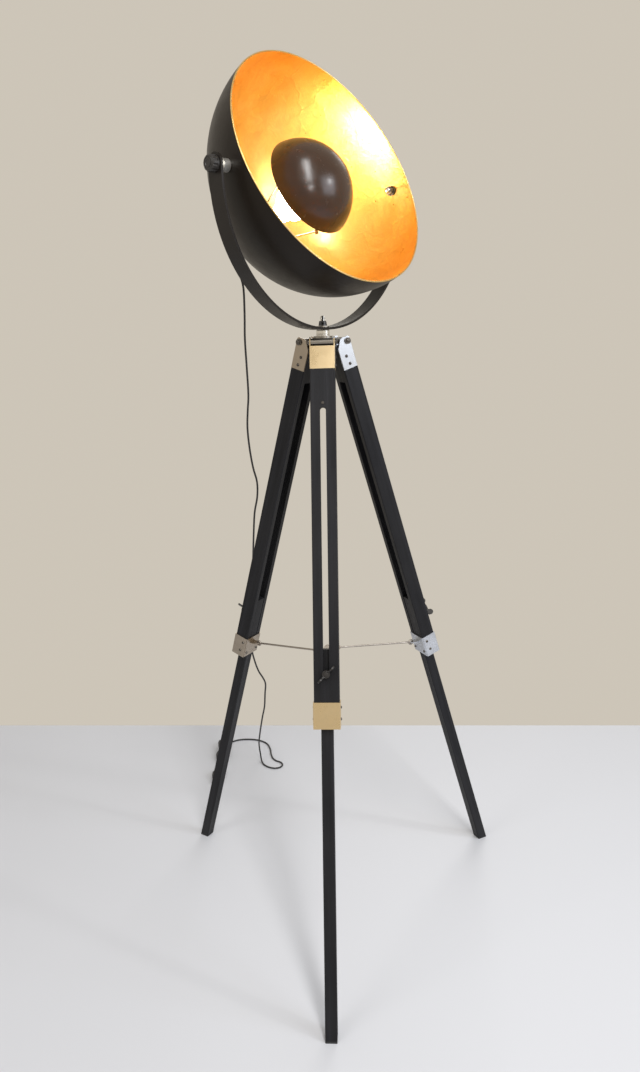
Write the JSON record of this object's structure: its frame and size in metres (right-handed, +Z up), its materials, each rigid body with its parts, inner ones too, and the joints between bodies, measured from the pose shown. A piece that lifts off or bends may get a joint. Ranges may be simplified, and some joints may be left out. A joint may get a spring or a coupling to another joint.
{
  "type": "tripod floor lamp",
  "caption": "Spotlight floor lamp with a gold-lined dome and counter reflector, held in a half-round yoke on a folding wooden tripod with sliding lower legs.",
  "frame": {"origin": "on the floor, under the middle of the lamp outline without its cord", "axes": "+Z up, the front leg points along -Y"},
  "size_m": [0.681, 0.9799, 1.554],
  "materials": {
    "black_paint": "satin",
    "gold_leaf": "satin",
    "gold_edge": "satin",
    "bright_nickel": "satin",
    "dark_steel": "satin",
    "knob_black": "satin",
    "holder_steel": "satin",
    "holder_black": "gloss",
    "bulb_glass": "gloss",
    "bulb_cap_metal": "satin",
    "cord_black": "matte",
    "gland_black": "matte",
    "plug_black": "matte",
    "tie_black": "matte",
    "black_wood": "matte",
    "sheet_nickel": "satin",
    "screw_steel": "satin",
    "wing_black": "satin",
    "rubber_black": "matte",
    "rod_steel": "satin"
  },
  "bodies": {
    "tripod_head": {"hub": "dark_steel", "spindle": "bright_nickel", "spindle_nut": "dark_steel", "hinge_pins": "dark_steel", "cord_lower": "cord_black", "cord_hank": "cord_black", "hank_tie": "tie_black", "mains_plug": "plug_black"},
    "yoke": {"yoke": "black_paint", "yoke_washer": "dark_steel"},
    "yoke_wing_nut": {"yoke_wing_nut": "dark_steel"},
    "lamp_head": {"dome_shell": "black_paint", "dome_lining": "gold_leaf", "dome_rim_bead": "gold_edge", "counter_reflector": "black_paint", "counter_lining": "gold_leaf", "reflector_stays": "dark_steel", "stay_ferrules": "dark_steel", "holder_plate": "holder_steel", "lamp_holder": "holder_black", "bulb_glass": "bulb_glass", "bulb_cap": "bulb_cap_metal", "tilt_bolts": "dark_steel", "tilt_spacers": "bright_nickel", "tilt_nuts": "dark_steel", "cord_gland": "gland_black", "cord_upper": "cord_black"},
    "left_knob": {"knob_left": "knob_black"},
    "right_knob": {"knob_right": "knob_black"},
    "upper_leg_front": {"upper_leg_front": "black_wood", "cap_front": "sheet_nickel", "cap_screws_front": "screw_steel", "sleeve_front": "sheet_nickel", "sleeve_screws_front": "screw_steel", "spreader_bracket_front": "sheet_nickel"},
    "lower_leg_front": {"lower_leg_front": "black_wood", "foot_pad_front": "rubber_black"},
    "wing_screw_front": {"wing_screw_front": "wing_black"},
    "spreader_arm_front": {"spreader_rod_front": "rod_steel"},
    "upper_leg_right": {"upper_leg_right": "black_wood", "cap_right": "sheet_nickel", "cap_screws_right": "screw_steel", "sleeve_right": "sheet_nickel", "sleeve_screws_right": "screw_steel", "spreader_bracket_right": "sheet_nickel"},
    "lower_leg_right": {"lower_leg_right": "black_wood", "foot_pad_right": "rubber_black"},
    "wing_screw_right": {"wing_screw_right": "wing_black"},
    "spreader_arm_right": {"spreader_rod_right": "rod_steel"},
    "upper_leg_left": {"upper_leg_left": "black_wood", "cap_left": "sheet_nickel", "cap_screws_left": "screw_steel", "sleeve_left": "sheet_nickel", "sleeve_screws_left": "screw_steel", "spreader_bracket_left": "sheet_nickel"},
    "lower_leg_left": {"lower_leg_left": "black_wood", "foot_pad_left": "rubber_black"},
    "wing_screw_left": {"wing_screw_left": "wing_black"},
    "spreader_arm_left": {"spreader_rod_left": "rod_steel"},
    "spreader_plate": {"spreader_plate": "rod_steel"}
  },
  "joints": [
    {"name": "yoke_pan", "type": "hinge", "parent": "tripod_head", "child": "yoke", "pos_m": [0, 0.08869, 1.1203], "axis": [0, 0, 1], "range_deg": [-120, 120]},
    {"name": "head_tilt", "type": "hinge", "parent": "yoke", "child": "lamp_head", "pos_m": [0, 0.08869, 1.3578], "axis": [0.6293, 0.7771, 0], "range_deg": [-60, 60], "deforming": ["cord_upper"]},
    {"name": "left_knob_turn", "type": "hinge", "parent": "lamp_head", "child": "left_knob", "pos_m": [-0.13971, -0.08384, 1.3578], "axis": [-0.6293, -0.7771, 0], "range_deg": [-180, 180]},
    {"name": "right_knob_turn", "type": "hinge", "parent": "lamp_head", "child": "right_knob", "pos_m": [0.13971, 0.26122, 1.3578], "axis": [0.6293, 0.7771, 0], "range_deg": [-180, 180]},
    {"name": "yoke_wing_nut_turn", "type": "hinge", "parent": "tripod_head", "child": "yoke_wing_nut", "pos_m": [0, 0.08869, 1.1253], "axis": [0, 0, 1], "range_deg": [-180, 180]},
    {"name": "leg_fold_front", "type": "hinge", "parent": "tripod_head", "child": "upper_leg_front", "pos_m": [0, 0.05269, 1.101], "axis": [1, 0, 0], "range_deg": [0, 10]},
    {"name": "lower_leg_slide_front", "type": "slide", "parent": "upper_leg_front", "child": "lower_leg_front", "axis": [0, 0.2924, 0.9563], "range_m": [0, 0.43]},
    {"name": "wing_screw_turn_front", "type": "hinge", "parent": "lower_leg_front", "child": "wing_screw_front", "pos_m": [0, -0.1087, 0.57312], "axis": [0, -0.9563, 0.2924], "range_deg": [-180, 180]},
    {"name": "spreader_arm_front", "type": "hinge", "parent": "upper_leg_front", "child": "spreader_arm_front", "pos_m": [0, -0.08777, 0.50887], "axis": [1, 0, 0], "range_deg": [0, 51]},
    {"name": "leg_fold_right", "type": "hinge", "parent": "tripod_head", "child": "upper_leg_right", "pos_m": [0.03118, 0.10669, 1.101], "axis": [-0.5, 0.866, 0], "range_deg": [0, 10]},
    {"name": "lower_leg_slide_right", "type": "slide", "parent": "upper_leg_right", "child": "lower_leg_right", "axis": [-0.2532, -0.1462, 0.9563], "range_m": [0, 0.43]},
    {"name": "wing_screw_turn_right", "type": "hinge", "parent": "lower_leg_right", "child": "wing_screw_right", "pos_m": [0.17094, 0.18739, 0.57312], "axis": [0.8282, 0.4782, 0.2924], "range_deg": [-180, 180]},
    {"name": "spreader_arm_right", "type": "hinge", "parent": "upper_leg_right", "child": "spreader_arm_right", "pos_m": [0.15282, 0.17692, 0.50887], "axis": [-0.5, 0.866, 0], "range_deg": [0, 51]},
    {"name": "leg_fold_left", "type": "hinge", "parent": "tripod_head", "child": "upper_leg_left", "pos_m": [-0.03118, 0.10669, 1.101], "axis": [-0.5, -0.866, 0], "range_deg": [0, 10]},
    {"name": "lower_leg_slide_left", "type": "slide", "parent": "upper_leg_left", "child": "lower_leg_left", "axis": [0.2532, -0.1462, 0.9563], "range_m": [0, 0.43]},
    {"name": "wing_screw_turn_left", "type": "hinge", "parent": "lower_leg_left", "child": "wing_screw_left", "pos_m": [-0.17094, 0.18739, 0.57312], "axis": [-0.8282, 0.4782, 0.2924], "range_deg": [-180, 180]},
    {"name": "spreader_arm_left", "type": "hinge", "parent": "upper_leg_left", "child": "spreader_arm_left", "pos_m": [-0.15282, 0.17692, 0.50887], "axis": [-0.5, -0.866, 0], "range_deg": [0, 51]},
    {"name": "spreader_plate_level", "type": "hinge", "parent": "spreader_arm_front", "child": "spreader_plate", "pos_m": [0.01, 0.07969, 0.52987], "axis": [1, 0, 0], "range_deg": [-61, 0]}
  ],
  "couplings": [
    {"joint": "spreader_arm_front", "follows": "leg_fold_front", "ratio": 5.1},
    {"joint": "leg_fold_right", "follows": "leg_fold_front", "ratio": 1},
    {"joint": "spreader_arm_right", "follows": "leg_fold_front", "ratio": 5.1},
    {"joint": "leg_fold_left", "follows": "leg_fold_front", "ratio": 1},
    {"joint": "spreader_arm_left", "follows": "leg_fold_front", "ratio": 5.1},
    {"joint": "spreader_plate_level", "follows": "leg_fold_front", "ratio": -6.1}
  ]
}
